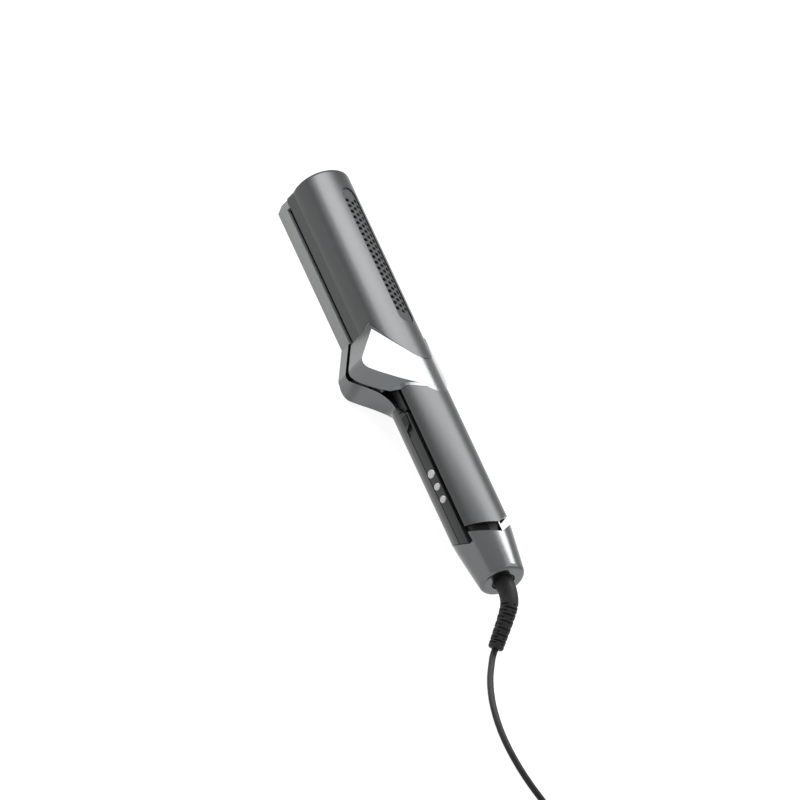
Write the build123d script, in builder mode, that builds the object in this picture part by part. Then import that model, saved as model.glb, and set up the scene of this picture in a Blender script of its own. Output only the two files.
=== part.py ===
from build123d import *
import math
import os

# Hot air styler: two long arms hinged at the tail, with a ventilated barrel on the upper
# arm, a slim heated bar under it, flared bright shoulders, and a round handle.
# X runs from the tip (-X) to the tail (+X), the buttons face -Y, and +Z is up.
# The styler lies on its lower arm. All sizes are in millimetres.
# Places along the styler are given as distance behind the tip, and heights as distance
# above the handle's axis; along() and up() turn them into X and Z.

os.makedirs("parts", exist_ok=True)

# Driving dimensions of the whole styler
body_length = 303.0
handle_radius = 18.5
axis_height = 26.0
wall = 2.0
seam = 0.3
# Reaches past the styler from any place, for solids that only cut or get cut
beyond = 90.0

# Head: the barrel above, the bar below, and the slot between them
head_half_width = 17.1
barrel_foot = -13.4
bar_top = -16.4
bar_chamfer = -19.2
bar_bottom = -26.0
bar_bottom_half_width = 13.9
tip_setback = 1.5
bar_end = 111.0
bar_floor = 2.4
bar_nose_round = 1.2
end_block_length = 6.0
end_block_height = 2.7
foot_setback = 3.5
barrel_blank_end = 150.0
tip_round = 2.6
plate_start = 10.0
plate_end = 104.0
plate_half_width = 12.5
plate_gap = 0.4
plate_recess = 1.6
plate_fit = 0.2
plate_edge_round = 0.8
holder_depth = 4.0
holder_start = 6.1
holder_overhang = 8.0
holder_side = 4.0
heater_pocket_ends = 16.0
heater_pocket_sides = 9.0
heater_length = 64.0
heater_width = 14.0
heater_thickness = 1.2
tag_length = 7.0
tag_width = 1.6
tag_pitch = 5.0
tag_thickness = 0.6

# Grille in the barrel's back
vent_start = 15.0
vent_end = 119.0
vent_half_width = 5.7
vent_depth = 0.9
vent_thickness = 1.1
vent_row = 3.3
vent_pitch = 4.4
vent_hole = 2.9
vent_margin = 6.0

# Fan inside the barrel
fan_along = 96.0
fan_radius = 11.0
fan_height = 2.5
hub_radius = 4.2
hub_length = 6.0
blade_width = 5.0
blade_thickness = 0.9
blade_sink = 0.8
blade_slant = 35.0
blade_count = 7
motor_radius = 6.5
motor_length = 18.0
motor_gap = 7.5
shaft_radius = 1.0
bracket_reach = 16.5
bracket_ring = 2.0
bracket_arm = 3.0
bracket_depth = 4.0
running_fit = 0.06

# Flared shoulders between head and handle
shoulder_start = 108.0
shoulder_tip = 141.5
shoulder_end = 163.0
shoulder_half_width = 35.2
shoulder_edge_height = -0.9
shoulder_tip_round = 8.0
shoulder_wall = 2.2
lower_rise = 146.0
shoulder_blank_start = 100.0
shoulder_blank_half_width = 40.0
shoulder_floor_half_width = 30.0
shoulder_floor_step = 2.0
shoulder_hollow_inset = 5.0
shoulder_hollow_end = 145.5
bridge_radius = 14.5
bridge_start = 146.0
bridge_overlap = 4.0

# Handle and tail
handle_blank_start = 140.0
upper_edge = 4.5
panel_top = 1.9
panel_bottom = -4.7
panel_radius = 18.2
panel_start = 170.0
cap_blank_start = 230.0
cap_taper_start = 262.0
cap_taper_middle = (280.0, 17.0)
cap_end_slope = -0.16
cap_end_round = 3.0
cap_hollow_end = 276.0
cap_end_radius = 14.0
grommet_depth = 6.0
grommet_round = 0.7
grommet_radius = 7.4
grommet_sink = 0.6

# Hinge between the arms
hinge_along = 274.0
hinge_height = 3.0
pin_radius = 2.0
pin_half_length = 11.0
knuckle_radius = 5.5
knuckle_half_width = 5.0
knuckle_front = 246.0
knuckle_bridge_length = 7.0
knuckle_bridge_base = 4.8
core_radius = 12.4
core_fit = 0.1
knuckle_gap = 0.6
knuckle_side_gap = 0.3
pin_chamfer = 0.4
spring_half_thickness = 0.3
spring_half_width = 3.0
bracket_start = 258.0
bracket_end = 288.0

# Controls
button_height = -1.2
power_place = (223.1, 2.7)
plus_place = (232.8, 2.3)
minus_place = (242.4, 2.3)
button_round = 0.5
button_face = 18.9
button_inner = 15.4
button_clearance = 0.15
switch_board_face = 14.6
switch_board_middle = 232.0
switch_board_length = 34.0
switch_board_thickness = 1.2
circuit_board_middle = 213.0
circuit_board_height = -9.0
circuit_board_size = (76.0, 24.6)
circuit_board_thickness = 1.6
lock_start = 174.5
lock_end = 189.0
lock_height = -1.8
lock_size = 4.6
lock_travel = 3.5
lock_floor = 17.0
lock_end_slope = 4.0
lock_round = 0.7
lock_thickness = 1.9
lock_stand = 0.6
lock_groove = 0.6
lock_groove_pitch = 1.6
lock_groove_depth = 0.1
lock_track_play = 0.6

# Side outlines, as (distance behind the tip, height)
upper_zone = [
    (115, barrel_foot), (110.8, 4), (147, 18.3), (152, 20), (176, 20), (168, 16.3), (162.5, 9),
    (162.5, upper_edge), (158.5, -2.5), (155, -6), (150.8, -9), (146, -12), (141.5, barrel_foot),
]
barrel_cut = [(114.7, -14), (110.5, 4), (146.7, 18.3), (152, 21), (200, 21), (200, -14)]
handle_front = [(130, 2), (162.8, 2), (162.8, 9), (168.3, 16.3), (173, 18.6), (176, 20), (130, 20)]
handle_back = [(267.3, 2), (267.3, upper_edge), (272, 18.6), (272.4, 20), (290, 20), (290, 2)]
lower_top_line = [
    (141, bar_top), (146, -14.6), (150.8, -11.6), (155, -8.8), (161, -6.8), (panel_start, panel_bottom),
]
lower_zone = [
    (111, bar_top), (111, -30), (143, -30), (143, bar_bottom), (156.5, -19.8), (164, -18.9),
    (panel_start, -18.9), *reversed(lower_top_line),
]
behind_cap_line = [
    (258, -25), (262, -20), (266, -15), (273.7, panel_bottom), (278, panel_top), (278.3, 4),
    (300, 4), (300, -25),
]
cap_notch = [
    (215, -25), (258.3, -25), (262.3, -20), (266.3, -15), (274, panel_bottom), (278.3, panel_top),
    (278.3, upper_edge), (215, upper_edge),
]
cap_mouth = [
    (215, upper_edge - 1), (271.3, upper_edge - 1), (271.3, upper_edge), (279, 18.5), (282.5, 25),
    (215, 25),
]
panel_front = [(160, -10), (168.5, -5), (172.5, -3.6), (175.8, -1.5), (177.6, 0.6), (178.2, 3), (160, 3)]
knuckle_arm = [(247, 5), (258, 3.4), (268, 0), (274, -2.5), (274, 8.5), (262, 11.5), (247, 11.5)]
bracket_room = [(250, -1), (262, -1), (274, -3.1), (280, 2), (280, 16), (250, 16)]
bracket_trim = [(250, 20), (250, 10), (258, 8), (264, 12.6), (264, 20)]
spring_line = [(205, 0.3 + panel_top), (214, 0.8 + panel_top), (240, 15.1), (244, 13.8)]
screw_places = (186.0, 232.0)
screw_radius = 2.6
screw_sink = 0.3

# Plan outlines, as (distance behind the tip, width towards the keys)
upper_trailing = [(150, 28.2), (157.4, 20), (171.8, 2.4), (190, 0.5)]
lower_trailing = [(shoulder_end, 18.3), (shoulder_end + 4, handle_radius), (shoulder_end + 30, handle_radius)]
shell_far_cut = [(272.1, 4), (251.7, -30), (290, -30), (290, 4)]
mouth_plan = [(215, -30), (254.5, -30), (279, 2.6), (284, 2.6), (284, 30), (215, 30)]

# Cord
cord_diameter = 4.0
floor_gap = 0.05


def along(distance):
    """X of a place that is this far behind the tip."""
    return distance - body_length / 2


def up(height):
    """Z of a place this far above the handle's axis."""
    return axis_height + height


def across(distance):
    """A plane square to the styler, this far behind the tip, drawn in Y and Z."""
    return Plane.YZ.offset(along(distance))


def side_polygon(points):
    """A prism across the styler from points of its side view."""
    with BuildPart() as prism:
        with BuildSketch(Plane.XZ):
            with BuildLine():
                Polyline(*[(along(a), up(t)) for a, t in points], close=True)
            make_face()
        extrude(amount=beyond, both=True)
    return prism.part


def barrel_section(inset=0.0):
    """Round top and upright sides of the barrel, drawn in Y and Z, made smaller by the inset."""
    with BuildSketch() as section:
        with Locations((0, axis_height)):
            Circle(handle_radius - inset)
        with Locations((0, up(barrel_foot / 2))):
            Rectangle(2 * (head_half_width - inset), -barrel_foot)
        with Locations((0, up(barrel_foot) - beyond / 2)):
            Rectangle(beyond, beyond, mode=Mode.SUBTRACT)
    return section.sketch


def bar_section():
    """The slim bar under the barrel, with bevelled lower sides."""
    with BuildSketch() as section:
        with BuildLine():
            Polyline(
                (-head_half_width, up(bar_top)),
                (head_half_width, up(bar_top)),
                (head_half_width, up(bar_chamfer)),
                (bar_bottom_half_width, up(bar_bottom)),
                (-bar_bottom_half_width, up(bar_bottom)),
                (-head_half_width, up(bar_chamfer)),
                close=True,
            )
        make_face()
    return section.sketch


def hull_section():
    """The shoulder's outline across: a round back with straight slopes down to the wing edges."""
    reach = math.hypot(shoulder_half_width, shoulder_edge_height)
    turn = math.acos(handle_radius / reach) + math.atan2(shoulder_edge_height, shoulder_half_width)
    touch_y, touch_z = handle_radius * math.cos(turn), handle_radius * math.sin(turn)
    with BuildSketch() as section:
        with Locations((0, axis_height)):
            Circle(handle_radius)
        with BuildLine():
            Polyline(
                (-touch_y, up(touch_z)),
                (touch_y, up(touch_z)),
                (shoulder_half_width, up(shoulder_edge_height)),
                (shoulder_half_width, up(bar_bottom)),
                (-shoulder_half_width, up(bar_bottom)),
                (-shoulder_half_width, up(shoulder_edge_height)),
                close=True,
            )
        make_face()
    return section.sketch


def plan_prism(points):
    """A tall prism from points of the plan."""
    with BuildPart() as prism:
        with BuildSketch():
            with BuildLine():
                Polyline(*[(along(a), -w) for a, w in points], close=True)
            make_face()
        extrude(amount=beyond)
    return prism.part


def shoulder_plan(trailing):
    """The wings seen from above, as a tall prism, from the points of their trailing edge."""
    tip = shoulder_half_width + 1.2
    side = [(shoulder_start - 20, 12), (shoulder_start, 16), (shoulder_tip, tip), *trailing]
    outline = side + [(a, -w) for a, w in reversed(side)]
    with BuildPart() as prism:
        with BuildSketch() as plan:
            with BuildLine():
                Polyline(*[(along(a), w) for a, w in outline], close=True)
            make_face()
            wing_tips = [v for v in plan.vertices() if abs(v.Y) > tip - 0.5]
            fillet(wing_tips, shoulder_tip_round)
        extrude(amount=beyond)
    return prism.part


# Barrel: a thin round housing over the upper plate, with a recess along its back for the grille
with BuildPart() as barrel_shell:
    with BuildSketch(across(foot_setback)):
        add(barrel_section())
        add(barrel_section(wall), mode=Mode.SUBTRACT)
        with Locations((0, up(barrel_foot) + wall / 2)):
            Rectangle(2 * (head_half_width - wall), wall + 1, mode=Mode.SUBTRACT)
    extrude(amount=barrel_blank_end - foot_setback)
    add(side_polygon(barrel_cut), mode=Mode.SUBTRACT)
    with BuildSketch(Plane.XY.offset(axis_height)):
        with Locations((along((vent_start + vent_end) / 2), 0)):
            SlotOverall(vent_end - vent_start, 2 * vent_half_width)
    extrude(amount=beyond, mode=Mode.SUBTRACT)
barrel_shell.part.label = "barrel_shell"
export_step(barrel_shell.part, "parts/barrel_shell.step")

# Grille: a curved strip with three rows of staggered holes, sunk below the barrel's face
with BuildPart() as vent_grille:
    with BuildSketch(across(vent_start + 0.1)):
        with Locations((0, axis_height)):
            Circle(handle_radius - vent_depth)
            Circle(handle_radius - vent_depth - vent_thickness, mode=Mode.SUBTRACT)
    extrude(amount=vent_end - vent_start - 0.2)
    with BuildSketch(Plane.XY.offset(axis_height)):
        with Locations((along((vent_start + vent_end) / 2), 0)):
            SlotOverall(vent_end - vent_start - 0.1, 2 * vent_half_width - 0.1)
    extrude(amount=beyond, mode=Mode.INTERSECT)
    hole_count = int((vent_end - vent_start - 2 * vent_margin) / vent_pitch)
    with BuildSketch(Plane.XY.offset(axis_height)):
        for row, y in enumerate((-vent_row, 0, vent_row)):
            shift = (row % 2) * vent_pitch / 2
            with Locations((along((vent_start + vent_end) / 2) + shift - vent_pitch / 4, y)):
                with GridLocations(vent_pitch, 1, hole_count, 1):
                    RegularPolygon(vent_hole / 2, 6)
    extrude(amount=beyond, mode=Mode.SUBTRACT)
vent_grille.part.label = "vent_grille"
export_step(vent_grille.part, "parts/vent_grille.step")

# Tip cap: closes the round end of the barrel with a softened rim
with BuildPart() as barrel_tip:
    with BuildSketch(across(0)):
        add(barrel_section())
    extrude(amount=foot_setback)
    rim = barrel_tip.faces().sort_by(Axis.X)[0].edges()
    fillet(rim, tip_round)
    with BuildSketch(across(foot_setback)):
        add(barrel_section(wall + 0.05))
        with Locations((0, up(barrel_foot) + 1)):
            Rectangle(60, 8, mode=Mode.SUBTRACT)
    extrude(amount=2.5)
barrel_tip.part.label = "barrel_tip"
export_step(barrel_tip.part, "parts/barrel_tip.step")

# Upper plate holder: a tray in the barrel's foot that carries the heating plate
with BuildPart() as upper_plate_holder:
    with BuildSketch(across(holder_start)):
        with Locations((0, up(barrel_foot) + holder_depth / 2)):
            Rectangle(2 * (head_half_width - wall) - 0.1, holder_depth)
    extrude(amount=plate_end + 2 - foot_setback)
    with BuildSketch(Plane.XY.offset(up(barrel_foot))):
        with Locations((along((plate_start + plate_end) / 2), 0)):
            Rectangle(plate_end - plate_start + plate_fit, 2 * plate_half_width + plate_fit)
    extrude(amount=plate_recess + 0.4, mode=Mode.SUBTRACT)
    with BuildSketch(Plane.XY.offset(up(barrel_foot) + plate_recess)):
        with Locations((along((plate_start + plate_end) / 2), 0)):
            Rectangle(
                plate_end - plate_start - heater_pocket_ends, 2 * plate_half_width - heater_pocket_sides
            )
    extrude(amount=holder_depth - plate_recess - 1, mode=Mode.SUBTRACT)
upper_plate_holder.part.label = "upper_plate_holder"
export_step(upper_plate_holder.part, "parts/upper_plate_holder.step")

# Heating plates: long bars with softened long edges, nearly touching when the styler is shut
plate_middle = up((barrel_foot + bar_top) / 2)


def heating_plate(face_height, back_height):
    """One plate between its working face and its back."""
    with BuildPart() as plate:
        with BuildSketch(across(plate_start)):
            with Locations((0, (face_height + back_height) / 2)):
                Rectangle(2 * plate_half_width, abs(face_height - back_height))
        extrude(amount=plate_end - plate_start)
        face_edges = plate.edges().filter_by_position(Axis.Z, face_height - 0.01, face_height + 0.01)
        fillet(face_edges.filter_by(Axis.X), plate_edge_round)
    return plate.part


with BuildPart() as upper_plate:
    add(heating_plate(plate_middle + plate_gap / 2, up(barrel_foot) + plate_recess))
upper_plate.part.label = "upper_plate"
export_step(upper_plate.part, "parts/upper_plate.step")
with BuildPart() as lower_plate:
    add(heating_plate(plate_middle - plate_gap / 2, up(bar_top) - plate_recess))
lower_plate.part.label = "lower_plate"
export_step(lower_plate.part, "parts/lower_plate.step")


def plate_heater(base):
    """A flat heater lying on the back of a plate, with its two wire tags."""
    with BuildPart() as heater:
        with BuildSketch(Plane.XY.offset(base)):
            with Locations((along((plate_start + plate_end) / 2), 0)):
                RectangleRounded(heater_length, heater_width, 2)
        extrude(amount=heater_thickness)
        with BuildSketch(Plane.XY.offset(base + 0.4)):
            with Locations((along((plate_start + plate_end) / 2) + heater_length / 2 + 3, 0)):
                with GridLocations(1, tag_pitch, 1, 2):
                    Rectangle(tag_length, tag_width)
        extrude(amount=tag_thickness)
    return heater.part


with BuildPart() as upper_heater:
    add(plate_heater(up(barrel_foot) + plate_recess))
upper_heater.part.label = "upper_heater"
export_step(upper_heater.part, "parts/upper_heater.step")
with BuildPart() as lower_heater:
    add(plate_heater(up(bar_top) - plate_recess - heater_thickness))
lower_heater.part.label = "lower_heater"
export_step(lower_heater.part, "parts/lower_heater.step")

# Fan motor and its bracket ring inside the barrel
with BuildPart() as fan_motor:
    with BuildSketch(across(fan_along + motor_gap)):
        with Locations((0, up(fan_height))):
            Circle(motor_radius)
    extrude(amount=motor_length)
    fillet(fan_motor.edges().filter_by(GeomType.CIRCLE), 0.8)
    with BuildSketch(across(fan_along - 4)):
        with Locations((0, up(fan_height))):
            Circle(shaft_radius)
    extrude(amount=motor_gap + 5)
fan_motor.part.label = "fan_motor"
export_step(fan_motor.part, "parts/fan_motor.step")
with BuildPart() as motor_bracket:
    with BuildSketch(across(fan_along + motor_gap + 3)):
        with Locations((0, up(fan_height))):
            Circle(motor_radius + bracket_ring)
            for turn in range(3):
                with PolarLocations(0, 1, 90 + 120 * turn):
                    with Locations((bracket_reach / 2, 0)):
                        Rectangle(bracket_reach, bracket_arm)
            Circle(motor_radius + 0.02, mode=Mode.SUBTRACT)
        add(barrel_section(wall), mode=Mode.INTERSECT)
        with Locations((0, up(barrel_foot))):
            Rectangle(beyond, 2 * holder_depth + 0.2, mode=Mode.SUBTRACT)
    extrude(amount=bracket_depth)
motor_bracket.part.label = "motor_bracket"
export_step(motor_bracket.part, "parts/motor_bracket.step")

# Fan: a hub with pitched blades on the motor's shaft
with BuildPart() as fan_impeller:
    with BuildSketch(across(fan_along - hub_length / 2)):
        with Locations((0, up(fan_height))):
            Circle(hub_radius)
    extrude(amount=hub_length)
    fillet(fan_impeller.faces().sort_by(Axis.X)[0].edges(), 1)
    for k in range(blade_count):
        turn = 360 / blade_count * k
        root = Plane(
            origin=(along(fan_along), 0, up(fan_height)),
            x_dir=(0, -math.sin(math.radians(turn)), math.cos(math.radians(turn))),
            z_dir=(0, math.cos(math.radians(turn)), math.sin(math.radians(turn))),
        )
        with BuildSketch(root.offset(hub_radius - blade_sink)):
            Rectangle(blade_thickness, blade_width, rotation=blade_slant)
        extrude(amount=fan_radius - hub_radius + blade_sink)
    with BuildSketch(across(fan_along - hub_length)):
        with Locations((0, up(fan_height))):
            Circle(shaft_radius + running_fit)
    extrude(amount=2 * hub_length, mode=Mode.SUBTRACT)
fan_impeller.part.label = "fan_impeller"
export_step(fan_impeller.part, "parts/fan_impeller.step")

# Upper shoulder: the flared bright collar, hollow, between the barrel and the upper handle
with BuildPart() as upper_shoulder:
    with BuildSketch(across(shoulder_blank_start)):
        add(hull_section())
        with Locations((0, up(barrel_foot) - beyond / 2)):
            Rectangle(beyond, beyond, mode=Mode.SUBTRACT)
    extrude(amount=beyond)
    add(shoulder_plan(upper_trailing), mode=Mode.INTERSECT)
    with BuildSketch(across(shoulder_start)):
        with Locations((0, axis_height)):
            Circle(handle_radius)
    extrude(amount=beyond)
    add(side_polygon(upper_zone), mode=Mode.INTERSECT)
    with BuildSketch(across(shoulder_blank_start)):
        add(barrel_section(shoulder_wall))
        with Locations((0, up(barrel_foot) + 1)):
            Rectangle(2 * (head_half_width - shoulder_wall), 10)
    extrude(amount=beyond, mode=Mode.SUBTRACT)
upper_shoulder.part.label = "upper_shoulder"
export_step(upper_shoulder.part, "parts/upper_shoulder.step")

# Lower shoulder: the matching collar on the lower arm, with a floor that slopes up to the handle
with BuildPart() as lower_shoulder:
    with BuildSketch(across(shoulder_blank_start)):
        with BuildLine():
            Polyline(
                (-shoulder_blank_half_width, up(bar_top)),
                (shoulder_blank_half_width, up(bar_top)),
                (shoulder_blank_half_width, up(bar_chamfer) - shoulder_floor_step),
                (shoulder_floor_half_width, up(bar_bottom)),
                (-shoulder_floor_half_width, up(bar_bottom)),
                (-shoulder_blank_half_width, up(bar_chamfer) - shoulder_floor_step),
                close=True,
            )
        make_face()
    extrude(amount=beyond)
    with BuildSketch(across(lower_rise)):
        with Locations((0, axis_height)):
            Circle(handle_radius)
        with Locations((0, up(panel_bottom) + beyond / 2)):
            Rectangle(beyond, beyond, mode=Mode.SUBTRACT)
    extrude(amount=panel_start - lower_rise)
    add(shoulder_plan(lower_trailing), mode=Mode.INTERSECT)
    add(side_polygon(lower_zone), mode=Mode.INTERSECT)
    with BuildSketch(across(shoulder_blank_start)):
        with Locations((0, (up(bar_top) + up(bar_bottom)) / 2 + wall)):
            Rectangle(2 * (head_half_width - shoulder_hollow_inset), bar_top - bar_bottom)
    extrude(amount=shoulder_hollow_end - shoulder_blank_start, mode=Mode.SUBTRACT)
lower_shoulder.part.label = "lower_shoulder"
export_step(lower_shoulder.part, "parts/lower_shoulder.step")

# Lower head bar: a slim trough under the lower plate
with BuildPart() as lower_bar:
    with BuildSketch(across(tip_setback)):
        add(bar_section())
    extrude(amount=bar_end - seam / 2 - tip_setback)
    with BuildSketch(across(tip_setback)):
        with Locations((0, up(bar_top) + end_block_height / 2)):
            Rectangle(2 * head_half_width, end_block_height)
    extrude(amount=end_block_length)
    nose = lower_bar.faces().sort_by(Axis.X)[0].edges()
    fillet(nose, bar_nose_round)
    with BuildSketch(Plane.XY.offset(up(bar_bottom) + bar_floor)):
        with Locations((along((plate_start + plate_end) / 2), 0)):
            Rectangle(plate_end - plate_start + holder_overhang, 2 * plate_half_width - 2)
    extrude(amount=bar_top - bar_bottom - bar_floor - holder_depth, mode=Mode.SUBTRACT)
    with BuildSketch(Plane.XY.offset(up(bar_top) - holder_depth)):
        with Locations((along((plate_start + plate_end) / 2), 0)):
            Rectangle(plate_end - plate_start + holder_overhang, 2 * plate_half_width + holder_side)
    extrude(amount=holder_depth, mode=Mode.SUBTRACT)
lower_bar.part.label = "lower_bar"
export_step(lower_bar.part, "parts/lower_bar.step")

# Lower plate holder: a dark tray in the bar
with BuildPart() as lower_plate_holder:
    with BuildSketch(Plane.XY.offset(up(bar_top) - holder_depth)):
        with Locations((along((plate_start + plate_end) / 2), 0)):
            Rectangle(plate_end - plate_start + holder_overhang, 2 * plate_half_width + holder_side)
    extrude(amount=holder_depth)
    with BuildSketch(Plane.XY.offset(up(bar_top))):
        with Locations((along((plate_start + plate_end) / 2), 0)):
            Rectangle(plate_end - plate_start + plate_fit, 2 * plate_half_width + plate_fit)
    extrude(amount=-plate_recess - 0.4, mode=Mode.SUBTRACT)
    with BuildSketch(Plane.XY.offset(up(bar_top) - plate_recess)):
        with Locations((along((plate_start + plate_end) / 2), 0)):
            Rectangle(
                plate_end - plate_start - heater_pocket_ends, 2 * plate_half_width - heater_pocket_sides
            )
    extrude(amount=-holder_depth + plate_recess + 1, mode=Mode.SUBTRACT)
lower_plate_holder.part.label = "lower_plate_holder"
export_step(lower_plate_holder.part, "parts/lower_plate_holder.step")

# Upper handle shell: the plain outer half of the grip, open underneath
with BuildPart() as upper_handle_shell:
    with BuildSketch(across(handle_blank_start)):
        with Locations((0, axis_height)):
            Circle(handle_radius)
            Circle(handle_radius - wall, mode=Mode.SUBTRACT)
        with Locations((0, up(upper_edge) - beyond / 2)):
            Rectangle(beyond, beyond, mode=Mode.SUBTRACT)
    extrude(amount=bracket_end - handle_blank_start)
    add(side_polygon(handle_front), mode=Mode.SUBTRACT)
    add(side_polygon(handle_back), mode=Mode.SUBTRACT)
    add(plan_prism(shell_far_cut), mode=Mode.SUBTRACT)
upper_handle_shell.part.label = "upper_handle_shell"
export_step(upper_handle_shell.part, "parts/upper_handle_shell.step")

# Upper arm rib: a bridge inside the upper handle that carries the hinge knuckle
with BuildPart() as hinge_knuckle:
    with BuildSketch(Plane.XZ):
        with Locations((along(hinge_along), up(hinge_height))):
            Circle(knuckle_radius)
        with BuildLine():
            Polyline(*[(along(a), up(t)) for a, t in knuckle_arm], close=True)
        make_face()
    extrude(amount=knuckle_half_width, both=True)
    with BuildSketch(across(knuckle_front)):
        with Locations((0, axis_height)):
            Circle(handle_radius - wall)
        with Locations((0, up(knuckle_bridge_base) - beyond / 2)):
            Rectangle(beyond, beyond, mode=Mode.SUBTRACT)
    extrude(amount=knuckle_bridge_length)
    with BuildSketch(Plane.XZ):
        with Locations((along(hinge_along), up(hinge_height))):
            Circle(pin_radius + running_fit)
    extrude(amount=knuckle_half_width, both=True, mode=Mode.SUBTRACT)
hinge_knuckle.part.label = "hinge_knuckle"
export_step(hinge_knuckle.part, "parts/hinge_knuckle.step")

# Hinge bracket: the dark core of the lower arm with a slot for the knuckle
with BuildPart() as hinge_bracket:
    with BuildSketch(across(bracket_start)):
        with Locations((0, axis_height)):
            Circle(core_radius)
    extrude(amount=bracket_end - bracket_start)
    with BuildSketch(Plane.XZ):
        with BuildLine():
            Polyline(*[(along(a), up(t)) for a, t in bracket_trim], close=True)
        make_face()
    extrude(amount=beyond, both=True, mode=Mode.SUBTRACT)
    with BuildSketch(Plane.XZ):
        with Locations((along(hinge_along), up(hinge_height))):
            Circle(knuckle_radius + knuckle_gap)
        with BuildLine():
            Polyline(*[(along(a), up(t)) for a, t in bracket_room], close=True)
        make_face()
    extrude(amount=knuckle_half_width + knuckle_side_gap, both=True, mode=Mode.SUBTRACT)
    with BuildSketch(Plane.XZ):
        with Locations((along(hinge_along), up(hinge_height))):
            Circle(pin_radius)
    extrude(amount=beyond, both=True, mode=Mode.SUBTRACT)
hinge_bracket.part.label = "hinge_bracket"
export_step(hinge_bracket.part, "parts/hinge_bracket.step")

# Hinge pin: a plain steel pin through the bracket and the knuckle
with BuildPart() as hinge_pin:
    with BuildSketch(Plane.XZ):
        with Locations((along(hinge_along), up(hinge_height))):
            Circle(pin_radius)
    extrude(amount=pin_half_length, both=True)
    chamfer(hinge_pin.edges().filter_by(GeomType.CIRCLE), pin_chamfer)
hinge_pin.part.label = "hinge_pin"
export_step(hinge_pin.part, "parts/hinge_pin.step")

# Lower handle shell: the outer half of the grip under the control panel
with BuildPart() as lower_handle_shell:
    with BuildSketch(across(panel_start)):
        with Locations((0, axis_height)):
            Circle(handle_radius)
            Circle(handle_radius - wall, mode=Mode.SUBTRACT)
        with Locations((0, up(panel_bottom) + beyond / 2)):
            Rectangle(beyond, beyond, mode=Mode.SUBTRACT)
    extrude(amount=bracket_end - panel_start)
    add(side_polygon(behind_cap_line), mode=Mode.SUBTRACT)
    with BuildSketch(Plane.XY):
        with Locations(*[(along(place), 0) for place in screw_places]):
            Circle(screw_radius)
    extrude(amount=axis_height - 10, mode=Mode.SUBTRACT)
lower_handle_shell.part.label = "lower_handle_shell"
export_step(lower_handle_shell.part, "parts/lower_handle_shell.step")

# Control panel: the dark tray that closes the lower handle, with its side bands and button holes
with BuildPart() as control_panel:
    with BuildSketch(across(panel_start - bridge_overlap)):
        with Locations((0, axis_height)):
            Circle(panel_radius)
            Circle(panel_radius - wall, mode=Mode.SUBTRACT)
        with Locations((0, up(panel_top) - 1)):
            Rectangle(2 * panel_radius - 2, 2)
        with Locations((0, axis_height)):
            Circle(panel_radius, mode=Mode.INTERSECT)
        with Locations((0, up((panel_top + panel_bottom) / 2))):
            Rectangle(beyond, panel_top - panel_bottom, mode=Mode.INTERSECT)
    extrude(amount=bracket_end - panel_start + bridge_overlap)
    add(side_polygon(behind_cap_line), mode=Mode.SUBTRACT)
    add(side_polygon(panel_front), mode=Mode.SUBTRACT)
    with BuildSketch(across(bracket_start - seam)):
        with Locations((0, axis_height)):
            Circle(core_radius + core_fit)
    extrude(amount=beyond, mode=Mode.SUBTRACT)
    for place, radius in (power_place, plus_place, minus_place):
        with BuildSketch(Plane.XZ.offset(button_inner - 1)):
            with Locations((along(place), up(button_height))):
                Circle(radius + button_clearance)
        extrude(amount=10, mode=Mode.SUBTRACT)
    with BuildSketch(Plane.XZ.offset(lock_floor)):
        with Locations((along((lock_start + lock_end + lock_travel) / 2), up(lock_height))):
            Rectangle(lock_end - lock_start + lock_travel + lock_track_play, lock_size + 0.4)
    extrude(amount=10, mode=Mode.SUBTRACT)
control_panel.part.label = "control_panel"
export_step(control_panel.part, "parts/control_panel.step")

# Lock slider: a small ridged thumb piece in its track on the panel
with BuildPart() as lock_slider:
    with BuildSketch(Plane.XZ.offset(lock_floor + 0.15)) as lock_face:
        with BuildLine():
            Polyline(
                (along(lock_start), up(lock_height - lock_size / 2)),
                (along(lock_start + lock_end_slope), up(lock_height + lock_size / 2)),
                (along(lock_end - lock_end_slope), up(lock_height + lock_size / 2)),
                (along(lock_end), up(lock_height - lock_size / 2)),
                close=True,
            )
        make_face()
        fillet(lock_face.vertices(), lock_round)
    extrude(amount=lock_thickness)
    with BuildSketch(across(lock_start - 1)):
        with Locations((0, axis_height)):
            Circle(handle_radius + lock_stand)
    extrude(amount=lock_end - lock_start + 2, mode=Mode.INTERSECT)
    for k in range(4):
        with BuildSketch(Plane.XZ.offset(handle_radius - lock_groove_depth)):
            with Locations((along(lock_start + 5.2 + lock_groove_pitch * k), up(lock_height))):
                Rectangle(lock_groove, lock_size)
        extrude(amount=2, mode=Mode.SUBTRACT)
lock_slider.part.label = "lock_slider"
export_step(lock_slider.part, "parts/lock_slider.step")


def push_button(place, radius):
    """A round button with a softened face, at a place along the handle."""
    with BuildPart() as button:
        with BuildSketch(Plane.XZ.offset(button_inner)):
            with Locations((along(place), up(button_height))):
                Circle(radius)
        extrude(amount=button_face - button_inner)
        outer = button.faces().sort_by(Axis.Y)[0].edges()
        fillet(outer, button_round)
    return button.part


with BuildPart() as power_button:
    add(push_button(*power_place))
power_button.part.label = "power_button"
export_step(power_button.part, "parts/power_button.step")
with BuildPart() as plus_button:
    add(push_button(*plus_place))
plus_button.part.label = "plus_button"
export_step(plus_button.part, "parts/plus_button.step")
with BuildPart() as minus_button:
    add(push_button(*minus_place))
minus_button.part.label = "minus_button"
export_step(minus_button.part, "parts/minus_button.step")

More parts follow.
